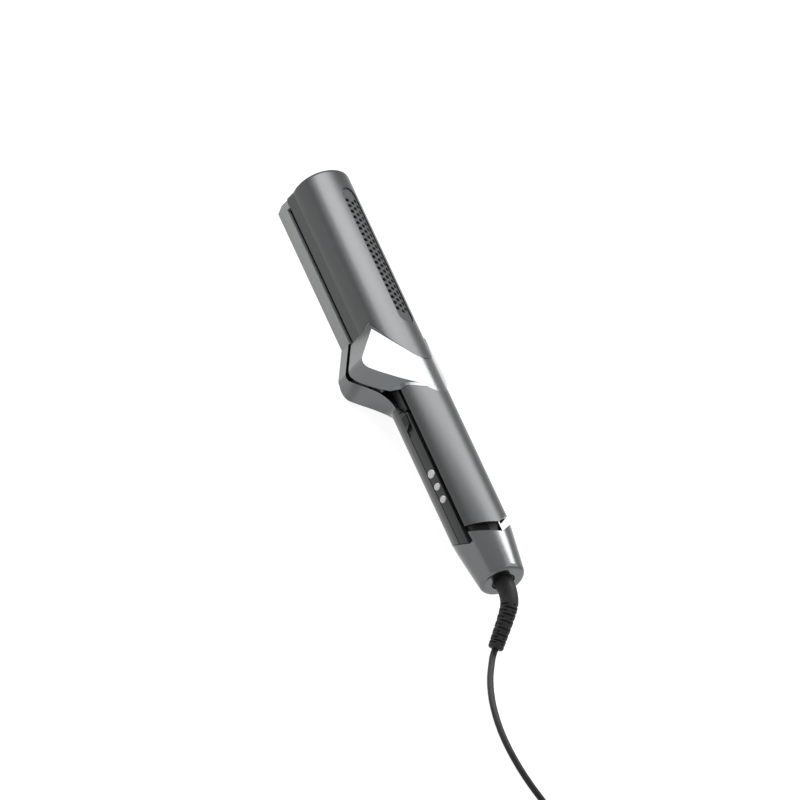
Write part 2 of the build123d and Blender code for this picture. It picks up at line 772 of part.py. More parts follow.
# Boards: one upright behind the buttons, one flat in the bottom of the grip
with BuildPart() as switch_board:
    with BuildSketch(Plane.XZ.offset(switch_board_face - switch_board_thickness)):
        with Locations((along(switch_board_middle), up(-2.4))):
            Rectangle(switch_board_length, 4.4)
    extrude(amount=switch_board_thickness)
    with BuildSketch(Plane.XY.offset(up(-4.6))):
        with Locations((along(switch_board_middle), -switch_board_face + 2.4)):
            Rectangle(switch_board_length, 4)
    extrude(amount=-1.0)
switch_board.part.label = "switch_board"
export_step(switch_board.part, "parts/switch_board.step")
with BuildPart() as circuit_board:
    with BuildSketch(Plane.XY.offset(up(circuit_board_height))):
        with Locations((along(circuit_board_middle), 0)):
            RectangleRounded(*circuit_board_size, 2)
    extrude(amount=-circuit_board_thickness)
    with BuildSketch(Plane.XY.offset(up(circuit_board_height))):
        with Locations((along(196), 4), (along(214), -4), (along(236), 3)):
            Rectangle(9, 7)
    extrude(amount=3)
    with BuildSketch(Plane.XY.offset(up(circuit_board_height) - circuit_board_thickness)):
        with Locations((along(209), 0)):
            Rectangle(38, 4)
    extrude(amount=-5.6)
circuit_board.part.label = "circuit_board"
export_step(circuit_board.part, "parts/circuit_board.step")

# Bridge: the dark inner wall seen between the shoulders, which carries the wires over
with BuildPart() as shoulder_bridge:
    with BuildSketch(across(bridge_start)):
        with Locations((0, axis_height)):
            Circle(bridge_radius)
        with Locations((0, up(bar_top / 2))):
            Rectangle(beyond, -bar_top, mode=Mode.INTERSECT)
    extrude(amount=panel_start + bridge_overlap - bridge_start)
    below = [(140, -30), (140, bar_top), *lower_top_line, (200, panel_bottom), (200, -30)]
    add(side_polygon(below), mode=Mode.SUBTRACT)
shoulder_bridge.part.label = "shoulder_bridge"
export_step(shoulder_bridge.part, "parts/shoulder_bridge.step")


def cap_mouth_void():
    """The space over the slanted mouth, which is longer on the side away from the keys."""
    with BuildPart() as void:
        add(side_polygon(cap_mouth))
        add(plan_prism(mouth_plan), mode=Mode.INTERSECT)
    return void.part


# Tail cap: a tapering bright sleeve with a slanted mouth, notched for the seam between the arms
with BuildPart() as tail_cap:
    with BuildSketch(Plane.XZ):
        with BuildLine():
            Polyline(
                (along(body_length), up(cap_end_radius)),
                (along(body_length), axis_height),
                (along(cap_blank_start), axis_height),
                (along(cap_blank_start), up(handle_radius)),
                (along(cap_taper_start), up(handle_radius)),
            )
            Spline(
                (along(cap_taper_start), up(handle_radius)),
                (along(cap_taper_middle[0]), up(cap_taper_middle[1])),
                (along(body_length), up(cap_end_radius)),
                tangents=[(1, 0), (1, cap_end_slope)],
            )
        make_face()
    revolve(axis=Axis((0, 0, axis_height), (1, 0, 0)))
    fillet(tail_cap.faces().sort_by(Axis.X)[-1].edges(), cap_end_round)
    with BuildSketch(across(cap_blank_start)):
        with Locations((0, axis_height)):
            Circle(handle_radius - wall - core_fit)
    extrude(amount=cap_hollow_end - cap_blank_start, mode=Mode.SUBTRACT)
    with BuildSketch(across(cap_blank_start)):
        with Locations((0, axis_height)):
            Circle(core_radius + core_fit)
    extrude(amount=bracket_end - cap_blank_start, mode=Mode.SUBTRACT)
    with BuildSketch(across(body_length - grommet_depth)):
        with Locations((0, axis_height)):
            Circle(grommet_radius)
    extrude(amount=beyond, mode=Mode.SUBTRACT)
    add(side_polygon(cap_notch), mode=Mode.SUBTRACT)
    add(cap_mouth_void(), mode=Mode.SUBTRACT)
tail_cap.part.label = "tail_cap"
export_step(tail_cap.part, "parts/tail_cap.step")

# Spring between the arms: a bent steel strip that pushes the upper arm open
with BuildPart() as leaf_spring:
    with BuildSketch(Plane.XZ):
        with BuildLine():
            Polyline(*[(along(a), up(t)) for a, t in spring_line])
            offset(amount=spring_half_thickness)
        make_face()
    extrude(amount=spring_half_width, both=True)
leaf_spring.part.label = "leaf_spring"
export_step(leaf_spring.part, "parts/leaf_spring.step")

# Grommet: the dark round seat that the strain relief leaves through
with BuildPart() as cord_grommet:
    with BuildSketch(across(body_length - grommet_depth)):
        with Locations((0, axis_height)):
            Circle(grommet_radius)
    extrude(amount=grommet_depth - grommet_sink)
    fillet(cord_grommet.faces().sort_by(Axis.X)[-1].edges(), grommet_round)
cord_grommet.part.label = "cord_grommet"
export_step(cord_grommet.part, "parts/cord_grommet.step")

# Coil that the spare cord is wound into: turns and layers of a round coil, as a formula
coil_centre_x = 345.0
coil_centre_y = 10.0
coil_outer = 29.5
coil_step = 5.5
coil_climb = 4.7
tie_thickness = 0.6
tie_width = 8.0
coil_layers = 4
half_turns_a_layer = 5
plug_sections = [(0, 12, 9), (8, 18, 11.5), (18, 26, 13), (30, 33, 13.7), (36, 34, 13.7)]
plug_length = plug_sections[-1][0]
plug_pin_radius = 2.0
plug_pin_length = 19.0
plug_pin_pitch = 18.6
plug_back_x = 394.0
plug_height = plug_sections[-1][2]

# Strain relief: a tapering rubber sleeve that bends from the grommet down to the floor
relief_points = [
    (along(body_length) - grommet_sink, 0, axis_height), (159.2, 0, 25.8), (167.1, -0.8, 23.4),
    (174.4, -2.9, 17.6), (181.5, -5.3, 10.8), (187.5, -7.4, 5.2),
]
relief_radii = [5.6, 5.4, 5.2, 5.0, 4.8, 4.6]
with BuildLine():
    relief_spine = Spline(*relief_points, tangents=[(1, 0, 0), (0.66, -0.24, -0.72)])
with BuildPart() as strain_relief:
    for k, radius in enumerate(relief_radii):
        place = k / (len(relief_radii) - 1)
        with BuildSketch(Plane(origin=relief_spine @ place, x_dir=(0, 1, 0), z_dir=relief_spine % place)):
            Circle(radius)
    loft()
strain_relief.part.label = "strain_relief"
export_step(strain_relief.part, "parts/strain_relief.step")

# Cord: from the strain relief down to the floor and away past the tail, to the coil
cord_height = cord_diameter / 2 + floor_gap
coil_height = cord_height + tie_thickness + 0.1
coil_start = Vector(coil_centre_x, coil_centre_y - coil_outer, coil_height)
relief_exit = relief_spine @ 1
cord_points = [
    (relief_exit.X, relief_exit.Y, relief_exit.Z),
    (190.1, -8.36, 2.36),
    (197.5, -13.0, cord_height),
    (211.0, -21.5, cord_height),
    (232.0, -30.0, cord_height),
    (258.0, -34.0, cord_height),
    (286.0, -30.5, cord_height),
    (310.0, -21.0, cord_height),
    (328.0, coil_start.Y, coil_height),
    (coil_start.X, coil_start.Y, coil_height),
]


def corner_radii(points):
    """The largest arc that each corner's two runs allow, and the turn there in degrees."""
    radii = []
    for a, b, c in zip(points, points[1:], points[2:]):
        before, after = Vector(*b) - Vector(*a), Vector(*c) - Vector(*b)
        turn = before.get_angle(after)
        radius = 0.45 * min(before.length, after.length) / math.tan(math.radians(turn) / 2)
        radii.append(radius)
        print(f"cord corner turns {turn:.1f} degrees on a radius of {radius:.1f}")
    return radii


def tube(path_wire, start, direction):
    """A round cord swept along a path."""
    with BuildPart() as made:
        with BuildSketch(Plane(origin=start, z_dir=direction)):
            Circle(cord_diameter / 2)
        sweep(path=path_wire)
    return made.part


with BuildLine() as cord_line:
    FilletPolyline(*cord_points, radius=corner_radii(cord_points))
cord_path = cord_line.wire()
with BuildPart() as power_cord:
    add(tube(cord_path, cord_path @ 0, cord_path % 0))
power_cord.part.label = "power_cord"
export_step(power_cord.part, "parts/power_cord.step")
swept_volume = math.pi * cord_diameter**2 / 4 * cord_path.length
print(f"cord volume over section times length: {power_cord.part.volume / swept_volume:.4f}")


def coil_nodes():
    """Place and direction at each half turn: in and out again, with a climb at each reversal."""
    radius, height, inward = coil_outer, coil_height, -1
    steps = []
    for layer in range(coil_layers):
        last = layer == coil_layers - 1
        steps += [(inward * coil_step / 2, 0)] * (half_turns_a_layer - last)
        if not last:
            steps.append((0, coil_climb))
        inward = -inward
    places = [(radius, height)]
    for widen, climb in steps:
        radius, height = radius + widen, height + climb
        places.append((radius, height))
    nodes = []
    for k, (radius, height) in enumerate(places):
        turn = math.radians(-90 + 180 * k)
        around = [steps[j][0] for j in (k - 1, k) if 0 <= j < len(steps)]
        slope = 0 if 0 in around else sum(around) / len(around) / math.pi
        point = Vector(
            coil_centre_x + radius * math.cos(turn),
            coil_centre_y + radius * math.sin(turn),
            height,
        )
        way = Vector(
            slope * math.cos(turn) - radius * math.sin(turn),
            slope * math.sin(turn) + radius * math.cos(turn),
            0,
        )
        nodes.append((point, Vector(1, 0, 0) if k == 0 else way.normalized()))
    return nodes


def biarc(start, start_way, end, end_way):
    """Two arcs that join two places with the given directions, inside a line block."""
    gap, ways = end - start, start_way + end_way
    spread = 2 - 2 * start_way.dot(end_way)
    reach = (-gap.dot(ways) + math.sqrt(gap.dot(ways) ** 2 + spread * gap.dot(gap))) / spread
    first, second = start + start_way * reach, end - end_way * reach
    middle = (first + second) / 2
    TangentArc(start, middle, tangent=start_way)
    TangentArc(middle, end, tangent=(second - first).normalized())


nodes = coil_nodes()
plug_entry = Vector(plug_back_x, nodes[-1][0].Y, plug_height / 2)
with BuildLine() as coil_line:
    for (start, start_way), (end, end_way) in zip(nodes, nodes[1:]):
        biarc(start, start_way, end, end_way)
    top = nodes[-1][0]
    lead_out = top + Vector(20, 0, 0)
    Line(top, lead_out)
    biarc(lead_out, Vector(1, 0, 0), plug_entry - Vector(4, 0, 0), Vector(1, 0, 0.0001).normalized())
    Line(plug_entry - Vector(4, 0, 0), plug_entry)
coil_path = coil_line.wire()
with BuildPart() as cord_coil:
    add(tube(coil_path, coil_path @ 0, coil_path % 0))
cord_coil.part.label = "cord_coil"
export_step(cord_coil.part, "parts/cord_coil.step")


def least_gap(path, diameter):
    """The least free space between turns, measured on points along the middle line."""
    count = int(path.length / 2)
    points = [path @ (k / count) for k in range(count + 1)]
    apart = int(3 * diameter)
    return min(
        (points[i] - points[j]).length - diameter
        for i in range(0, len(points), 2)
        for j in range(i + apart, len(points), 2)
    )


print(f"coil length {coil_path.length:.0f}, cord length {cord_path.length:.0f}")
print(f"least gap of the coil to itself: {least_gap(coil_path, cord_diameter):.2f}")

# Tie: a soft band round the coil's bundle on the side away from the styler
bundle_inner = coil_outer - half_turns_a_layer * coil_step / 2 - cord_diameter / 2 - 0.6
bundle_outer = coil_outer + cord_diameter / 2 + 0.6
bundle_width = bundle_outer - bundle_inner
bundle_middle = coil_centre_x + (bundle_inner + bundle_outer) / 2
bundle_height = (coil_layers - 1) * coil_climb + cord_diameter + 0.4
with BuildPart() as coil_tie:
    with BuildSketch(Plane.XZ.offset(-coil_centre_y + tie_width / 2)):
        with Locations((bundle_middle, bundle_height / 2 + tie_thickness + 0.02)):
            RectangleRounded(bundle_width + 2 * tie_thickness, bundle_height + 2 * tie_thickness, 1.4)
            RectangleRounded(bundle_width, bundle_height, 0.8, mode=Mode.SUBTRACT)
    extrude(amount=-tie_width)
coil_tie.part.label = "coil_tie"
export_step(coil_tie.part, "parts/coil_tie.step")

# Plug: a flat two-pin plug with a waisted grip, lying beside the coil
with BuildPart() as plug_body:
    for distance, width, height in plug_sections:
        with BuildSketch(Plane.YZ.offset(plug_back_x + distance)):
            with Locations((nodes[-1][0].Y, plug_height / 2)):
                RectangleRounded(width, height, height / 2 - 0.6)
    loft()
plug_body.part.label = "plug_body"
export_step(plug_body.part, "parts/plug_body.step")
with BuildPart() as plug_pins:
    with BuildSketch(Plane.YZ.offset(plug_back_x + plug_length)):
        with Locations((nodes[-1][0].Y, plug_height / 2)):
            with GridLocations(plug_pin_pitch, 1, 2, 1):
                Circle(plug_pin_radius)
    extrude(amount=plug_pin_length)
    fillet(plug_pins.faces().sort_by(Axis.X)[-2:].edges(), 0.9)
plug_pins.part.label = "plug_pins"
export_step(plug_pins.part, "parts/plug_pins.step")

# Screws of the hinge and shells, as one group of small heads
with BuildPart() as shell_screws:
    with BuildSketch(Plane.XY.offset(up(-handle_radius) + screw_sink)):
        with Locations(*[(along(place), 0) for place in screw_places]):
            Circle(screw_radius)
    extrude(amount=wall)
shell_screws.part.label = "shell_screws"
export_step(shell_screws.part, "parts/shell_screws.step")
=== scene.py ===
# %% [markdown]
# # A hot air styler, dressed for its photograph
# The solids of the styler were drawn in CAD and are loaded here as a fixed frame. Each of
# them keeps its place and its shape. This file gives every one a finish, and adds what a
# CAD model leaves plain: the cord as one smooth curve, the ribs of the rubber sleeve that
# guards it, and the lower shoulder, whose sides turn from flat to round.

# %% Load the frame
import bpy
import math
from mathutils import Matrix, Vector


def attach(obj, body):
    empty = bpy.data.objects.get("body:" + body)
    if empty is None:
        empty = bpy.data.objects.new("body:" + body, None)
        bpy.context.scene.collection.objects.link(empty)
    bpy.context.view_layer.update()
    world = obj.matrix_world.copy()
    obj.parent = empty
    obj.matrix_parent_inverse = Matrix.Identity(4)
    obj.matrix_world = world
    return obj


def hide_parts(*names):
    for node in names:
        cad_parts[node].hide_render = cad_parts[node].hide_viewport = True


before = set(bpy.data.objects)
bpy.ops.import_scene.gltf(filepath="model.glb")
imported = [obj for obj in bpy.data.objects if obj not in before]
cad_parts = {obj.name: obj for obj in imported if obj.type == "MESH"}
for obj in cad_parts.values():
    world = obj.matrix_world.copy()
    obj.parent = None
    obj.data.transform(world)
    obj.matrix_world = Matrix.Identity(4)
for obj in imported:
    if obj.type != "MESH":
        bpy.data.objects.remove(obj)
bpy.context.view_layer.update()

# %% [markdown]
# ## The camera
# The photograph looks steeply along the styler from its button side, with hardly any
# perspective, and it is turned so that the styler leans across the picture. A long lens
# from far away gives the flat look. The view is stated as two directions, from the styler
# to the camera and up in the picture, and the third one follows from them.

# %% The camera
MM = 0.001
TO_CAMERA = Vector((0.515, -0.6935, 0.504)).normalized()
PICTURE_UP = Vector((-0.777, -0.129, 0.616))
LOOK_AT = Vector((7.3, -5.9, 17.9)) * MM
PICTURE_WIDTH = 477.6 * MM
LENS = 1000.0
SENSOR = 36.0
CLIP_END = 20.0

camera_data = bpy.data.cameras.new("studio_camera")
camera_data.lens = LENS
camera_data.sensor_width = SENSOR
camera_data.sensor_fit = "HORIZONTAL"
camera = bpy.data.objects.new("studio_camera", camera_data)
bpy.context.scene.collection.objects.link(camera)
picture_right = PICTURE_UP.cross(TO_CAMERA).normalized()
picture_up = TO_CAMERA.cross(picture_right)
turn = Matrix((picture_right, picture_up, TO_CAMERA)).transposed()
distance = PICTURE_WIDTH * LENS / SENSOR
camera.matrix_world = Matrix.Translation(LOOK_AT + TO_CAMERA * distance) @ turn.to_4x4()
camera_data.clip_end = CLIP_END
bpy.context.scene.camera = camera
print(f"the camera stands {distance:.2f} m away")

# %% [markdown]
# ## The cord
# The mains cord is a round rubber cord 4 mm thick. It leaves the sleeve near the floor and
# lies in one slow bend, and its spare length is wound into a round coil of four layers with
# the plug next to it. It could be modelled as a long thin mesh, but a curve keeps it round
# and easy to lead elsewhere. The first stretch is a short list of given points.

# %% The cord's route up to the coil
CORD_DIAMETER = 4.0 * MM
FLOOR_GAP = 0.05 * MM
CORD_HEIGHT = CORD_DIAMETER / 2 + FLOOR_GAP
COIL_HEIGHT = CORD_HEIGHT + 0.7 * MM
COIL_CENTRE = Vector((345.0, 10.0, 0.0)) * MM
COIL_OUTER = 29.5 * MM
cord_exit = Vector((187.5, -7.4, 5.2)) * MM
cord_route = [
    cord_exit,
    Vector((190.1, -8.36, 2.36)) * MM,
    Vector((197.5 * MM, -13.0 * MM, CORD_HEIGHT)),
    Vector((211.0 * MM, -21.5 * MM, CORD_HEIGHT)),
    Vector((232.0 * MM, -30.0 * MM, CORD_HEIGHT)),
    Vector((258.0 * MM, -34.0 * MM, CORD_HEIGHT)),
    Vector((286.0 * MM, -30.5 * MM, CORD_HEIGHT)),
    Vector((310.0 * MM, -21.0 * MM, CORD_HEIGHT)),
    Vector((328.0 * MM, COIL_CENTRE.y - COIL_OUTER, COIL_HEIGHT)),
]
print(f"{len(cord_route)} points lead from the sleeve to the coil")

# %% [markdown]
# ### The coil
# The spare cord is wound from the outside in, climbs by one layer in half a turn, winds back
# out, and so on. So each half turn has its own radius and height, and a loop goes round
# between them. A rule keeps so many turns even, which points set by hand would not.

# %% The coil's turns
COIL_STEP = 5.5 * MM
COIL_CLIMB = 4.7 * MM
COIL_LAYERS = 4
HALF_TURNS_A_LAYER = 5
POINTS_A_HALF_TURN = 8


def coil_half_turns():
    """Radius and height at each half turn: in and out again, with a climb at each end."""
    radius, height, inward = COIL_OUTER, COIL_HEIGHT, -1
    places = [(radius, height)]
    for layer in range(COIL_LAYERS):
        last = layer == COIL_LAYERS - 1
        for _ in range(HALF_TURNS_A_LAYER - last):
            radius += inward * COIL_STEP / 2
            places.append((radius, height))
        if not last:
            height += COIL_CLIMB
            places.append((radius, height))
        inward = -inward
    return places


def coil_points():
    """Points round the coil's middle, between the half turns' radii and heights."""
    places = coil_half_turns()
    points = []
    for k, (start, end) in enumerate(zip(places, places[1:])):
        for j in range(POINTS_A_HALF_TURN):
            part = j / POINTS_A_HALF_TURN
            angle = math.radians(-90 + 180 * (k + part))
            ease = part * part * (3 - 2 * part)
            radius = start[0] + (end[0] - start[0]) * part
            height = start[1] + (end[1] - start[1]) * ease
            around = Vector((math.cos(angle), math.sin(angle), 0.0)) * radius
            points.append(COIL_CENTRE + around + Vector((0.0, 0.0, height)))
    return points


coil_turns = coil_points()
last_radius, last_height = coil_half_turns()[-1]
print(f"the coil takes {len(coil_turns)} points and climbs to {last_height / MM:.1f} mm")

# %% [markdown]
# ### The cord's curve
# From the top of the coil the cord drops to the plug. Then all the points, from the sleeve
# over the coil to the plug, become the control points of one NURBS spline. Such a spline
# cuts inside the corners that its points make, so it has no kinks, and a round bevel gives
# it its thickness.

# %% The cord's last stretch, down to the plug
PLUG_BACK = 394.0 * MM
PLUG_MIDDLE = 13.7 / 2 * MM
coil_leave = Vector((COIL_CENTRE.x, COIL_CENTRE.y - last_radius, last_height))
plug_entry = Vector((PLUG_BACK, coil_leave.y, PLUG_MIDDLE))
to_plug = [
    coil_leave,
    coil_leave + Vector((10.0, 0.0, 0.0)) * MM,
    coil_leave + Vector((22.0, 0.0, -0.4)) * MM,
    plug_entry + Vector((-19.0, 0.0, 6.4)) * MM,
    plug_entry + Vector((-11.0, 0.0, 0.8)) * MM,
    plug_entry + Vector((-4.0, 0.0, 0.0)) * MM,
    plug_entry,
]
print(f"{len(to_plug)} points lead from the coil to the plug")


# %% The cord as one curve
def cord_curve(name, points, diameter):
    """A round cord along a smooth NURBS line with these control points.

    Blender makes the tube as thick as the bevel times each point's radius, but adds the
    points' radius alone to the curve's box. So the bevel is 1 and the radius is the real one.
    """
    data = bpy.data.curves.new(name, "CURVE")
    data.dimensions = "3D"
    data.bevel_depth = 1.0
    data.bevel_resolution = 5
    data.resolution_u = 4
    data.use_fill_caps = True
    spline = data.splines.new("NURBS")
    spline.points.add(len(points) - 1)
    for point, place in zip(spline.points, points):
        point.co = (*place, 1.0)
        point.radius = diameter / 2
    spline.order_u = 3
    spline.use_endpoint_u = True
    made = bpy.data.objects.new(name, data)
    bpy.context.scene.collection.objects.link(made)
    return made


mains_cord = cord_curve("mains_cord", cord_route + coil_turns + to_plug, CORD_DIAMETER)
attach(mains_cord, "lower_arm")
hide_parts("power_cord", "cord_coil")
print(f"the cord has {len(mains_cord.data.splines[0].points)} control points")

# %% [markdown]
# ## The ribbed sleeve
# Where the cord leaves the tail, a soft rubber sleeve keeps it from kinking. Its neck is
# smooth, and the rest is cut by short staggered slots that leave ribs, so that it bends in
# a slow curve. Dozens of slots cut by booleans would be slow and fragile, so the sleeve is
# swept in code: a ring of points is carried along a smooth line through the sleeve's middle,
# and its radius dips at each slot.

# %% A smooth line through a few points
SLEEVE_STEPS = 260
JUST_INSIDE = 1e-6
SLEEVE_POINTS = [
    (150.9, 0.0, 26.0),
    (159.2, 0.0, 25.8),
    (167.1, -0.8, 23.4),
    (174.4, -2.9, 17.6),
    (181.5, -5.3, 10.8),
    (187.5, -7.4, 5.2),
]


def smooth_line(points, count):
    """Points and directions along a Catmull-Rom curve, which passes through the given points."""
    ends = [points[0] * 2 - points[1], *points, points[-1] * 2 - points[-2]]
    line = []
    for k in range(count + 1):
        place = min(k / count * (len(points) - 1), len(points) - 1 - JUST_INSIDE)
        i, t = int(place), place - int(place)
        a, b, c, d = ends[i : i + 4]
        spot = (b * 2 + (c - a) * t + (a * 2 - b * 5 + c * 4 - d) * t**2
                + (b * 3 - a - c * 3 + d) * t**3) / 2
        way = ((c - a) + (a * 2 - b * 5 + c * 4 - d) * 2 * t
               + (b * 3 - a - c * 3 + d) * 3 * t**2) / 2
        line.append((spot, way.normalized()))
    return line


sleeve_line = smooth_line([Vector(p) * MM for p in SLEEVE_POINTS], SLEEVE_STEPS)
sleeve_length = sum((b[0] - a[0]).length for a, b in zip(sleeve_line, sleeve_line[1:]))
print(f"the sleeve is {sleeve_length / MM:.1f} mm long")

# %% [markdown]
# ### The slots
# Each row of slots runs round the sleeve with narrow webs between the slots, and each row is
# turned against the next, so webs and slots take turns along the sleeve. How deep a point is
# cut is the product of two shares: one for its place along a row, and one for its angle.

# %% Where the slots cut
SMOOTH_NECK = 0.4
SLOTS_END = 0.955
SLOT_ROWS = 13
SLOTS_A_ROW = 3
SLOT_SHARE = 0.5
SLOT_EDGE = 0.12
WEB_START = 0.6
WEB_EDGE = 0.2


def share(value):
    """The value, kept between 0 and 1."""
    return min(1.0, max(0.0, value))


def slot_cut(place, angle):
    """How deep the slots cut at a place along the sleeve, 0 to 1, and at an angle round it."""
    if place < SMOOTH_NECK or place > SLOTS_END:
        return 0.0
    along_rows = (place - SMOOTH_NECK) / (SLOTS_END - SMOOTH_NECK) * SLOT_ROWS
    row = int(along_rows)
    from_middle = abs(along_rows - row - 0.5) * 2
    web = math.cos(angle * SLOTS_A_ROW + math.pi * (row % 2))
    return share((SLOT_SHARE - from_middle) / SLOT_EDGE + 0.5) * share((WEB_START - web) / WEB_EDGE)


print(f"{SLOT_ROWS} rows of {SLOTS_A_ROW} slots are cut into the sleeve")


# %% A tube whose radius varies
def ring_mesh(name, line, radius_at, sides):
    """A closed tube whose radius follows a rule of the place along it and the angle round it."""
    vertices, faces = [], []
    side_way = Vector((0.0, 1.0, 0.0))
    for k, (spot, way) in enumerate(line):
        side_way = (side_way - way * side_way.dot(way)).normalized()
        other_way = way.cross(side_way)
        for j in range(sides):
            angle = 2 * math.pi * j / sides
            outward = side_way * math.cos(angle) + other_way * math.sin(angle)
            vertices.append(spot + outward * radius_at(k / (len(line) - 1), angle))
    for k in range(len(line) - 1):
        for j in range(sides):
            a, b = k * sides + j, k * sides + (j + 1) % sides
            faces.append((a, b, b + sides, a + sides))
    faces.append(tuple(reversed(range(sides))))
    faces.append(tuple(range((len(line) - 1) * sides, len(line) * sides)))
    mesh = bpy.data.meshes.new(name)
    mesh.from_pydata(vertices, [], faces)
    mesh.shade_smooth()
    made = bpy.data.objects.new(name, mesh)
    bpy.context.scene.collection.objects.link(made)
    return made


print("the helper for tubes is ready")

# %% The sleeve
SLEEVE_START_RADIUS = 5.9 * MM
SLEEVE_END_RADIUS = 4.7 * MM
SLEEVE_SIDES = 64
SLOT_DEPTH = 1.4 * MM
ROUNDED_FROM = 0.97
END_ROUNDING = 0.6 * MM


def sleeve_radius(place, angle):
    """The sleeve's radius: a slow taper, rounded at the far end, less the slots."""
    taper = SLEEVE_START_RADIUS + (SLEEVE_END_RADIUS - SLEEVE_START_RADIUS) * place
    into_end = max(0.0, (place - ROUNDED_FROM) / (1.0 - ROUNDED_FROM))
    return taper - END_ROUNDING * into_end**2 - SLOT_DEPTH * slot_cut(place, angle)


ribbed_sleeve = ring_mesh("ribbed_sleeve", sleeve_line, sleeve_radius, SLEEVE_SIDES)
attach(ribbed_sleeve, "lower_arm")
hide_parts("strain_relief")
print(f"the sleeve's mesh has {len(ribbed_sleeve.data.polygons)} faces")

# %% [markdown]

# %% [markdown]
# ## The lower shoulder
# The lower shoulder flares out under the upper one and then melts into the round handle. Its
# upper edge climbs behind the wing tips and keeps close under the upper shoulder, and its
# underside rises and turns from flat to round. The CAD solid has the flare but is plain
# behind the tips, so a skin takes its place. It could be cut from a block with booleans, but
# a skin over a row of cross-sections suits a form that changes all the way along. Each
# section has the same points, from the middle of the top round to the middle of the
# underside, and the other half is its mirror image. Places are measured from the styler's
# tip and from its axis.

# %% The wing's sizes
BODY_LENGTH = 303.0 * MM
AXIS_HEIGHT = 26.0 * MM
BAR_TOP = -16.4 * MM
WING_FRONT = Vector((108.0, 16.0)) * MM
WING_TIP = Vector((141.5, 36.4)) * MM
WING_BACK = Vector((163.0, 18.3)) * MM
WING_TIP_ROUND = 8.0 * MM
WING_SIDE_FOOT = -23.4 * MM
WING_FLOOR = -26.0 * MM
WING_FLOOR_INSET = 5.0 * MM
WING_SIDE_PARTS = 3
TIP_ARC_STEPS = 12
SKIN_START = 111.15 * MM
FRONT_END = 141.0 * MM
print(f"the wings reach {WING_TIP.y / MM:.1f} mm to each side")


# %% The cross-sections along the front of the wing
def rounded_tip(before, corner, after, radius, steps):
    """Points of an arc that rounds off a corner between two straight runs."""
    to_before = (before - corner).normalized()
    to_after = (after - corner).normalized()
    half = to_before.angle(to_after) / 2
    centre = corner + (to_before + to_after).normalized() * (radius / math.sin(half))
    first = corner + to_before * (radius / math.tan(half)) - centre
    last = corner + to_after * (radius / math.tan(half)) - centre
    arc = []
    for k in range(steps + 1):
        part = k / steps
        arc.append(centre + (first * (1 - part) + last * part).normalized() * radius)
    return arc


def wing_section(spot):
    """A section of the wing's front: flat top, upright side, bevelled foot, flat floor."""
    side_height = WING_SIDE_FOOT - BAR_TOP
    side = [
        (spot.x, spot.y, BAR_TOP + side_height * k / WING_SIDE_PARTS)
        for k in range(WING_SIDE_PARTS + 1)
    ]
    floor = [(spot.x, spot.y - WING_FLOOR_INSET, WING_FLOOR), (spot.x, 0.0, WING_FLOOR)]
    return [Vector(p) for p in ((spot.x, 0.0, BAR_TOP), *side, *floor)]


start_share = (SKIN_START - WING_FRONT.x) / (WING_TIP.x - WING_FRONT.x)
front_start = WING_FRONT + (WING_TIP - WING_FRONT) * start_share
tip_arc = rounded_tip(WING_FRONT, WING_TIP, WING_BACK, WING_TIP_ROUND, TIP_ARC_STEPS)
front_edge = [front_start, *(p for p in tip_arc if p.x < FRONT_END)]
front_sections = [wing_section(spot) for spot in front_edge]
print(f"{len(front_sections)} sections lead to the wing's tip")

# %% [markdown]
# ### Behind the wing tips
# From the tips to the handle the section turns from a flat box to a round bowl. Seven chosen
# sections are enough, because a smooth line through each of their points fills in the rest.

# %% The cross-sections behind the wing tips
# Each pair of lines is one section in millimetres, as (distance from the styler's tip, half
# width, height over the axis): the middle of the top, four places down the side, one on the
# underside and the underside's middle.
BACK_SECTIONS = [
    [(143.6, 0, -15.6), (143.6, 34.5, -15.3), (144.2, 34.8, -18.1), (144.9, 35.0, -20.9),
     (145.6, 35.2, -23.6), (145.0, 29.8, -26.0), (143.6, 0, -26.0)],
    [(147.6, 0, -12.8), (147.6, 31.6, -12.7), (148.7, 32.2, -16.3), (149.8, 32.7, -20.0),
     (150.9, 33.2, -23.6), (150.0, 27.5, -25.2), (149.0, 0, -25.3)],
    [(152.0, 0, -9.9), (152.0, 27.6, -9.9), (152.9, 27.6, -14.0), (153.8, 27.5, -18.1),
     (154.7, 27.3, -22.1), (153.8, 20.5, -23.4), (153.0, 0, -23.6)],
    [(157.0, 0, -7.2), (157.0, 23.4, -7.2), (157.5, 23.0, -11.6), (158.0, 22.4, -15.8),
     (158.5, 20.9, -19.9), (158.3, 14.0, -20.9), (158.0, 0, -21.2)],
    [(161.5, 0, -6.1), (161.5, 20.0, -6.1), (161.9, 19.2, -10.2), (162.3, 17.9, -14.2),
     (162.7, 15.4, -17.6), (162.6, 9.0, -19.2), (162.5, 0, -19.6)],
    [(166.0, 0, -5.4), (166.0, 18.2, -5.4), (166.2, 16.7, -9.3), (166.4, 14.4, -12.7),
     (166.6, 11.2, -15.4), (166.6, 5.9, -17.9), (166.6, 0, -18.7)],
    [(169.7, 0, -4.9), (169.7, 17.8, -4.9), (169.7, 16.3, -8.8), (169.7, 14.0, -12.1),
     (169.7, 10.9, -15.0), (169.7, 5.8, -17.6), (169.7, 0, -18.5)],
]
STEPS_BEHIND = 36
back_tracks = []
for place in range(len(BACK_SECTIONS[0])):
    track = [front_sections[-1][place], *(Vector(row[place]) * MM for row in BACK_SECTIONS)]
    back_tracks.append([spot for spot, way in smooth_line(track, STEPS_BEHIND)][1:])
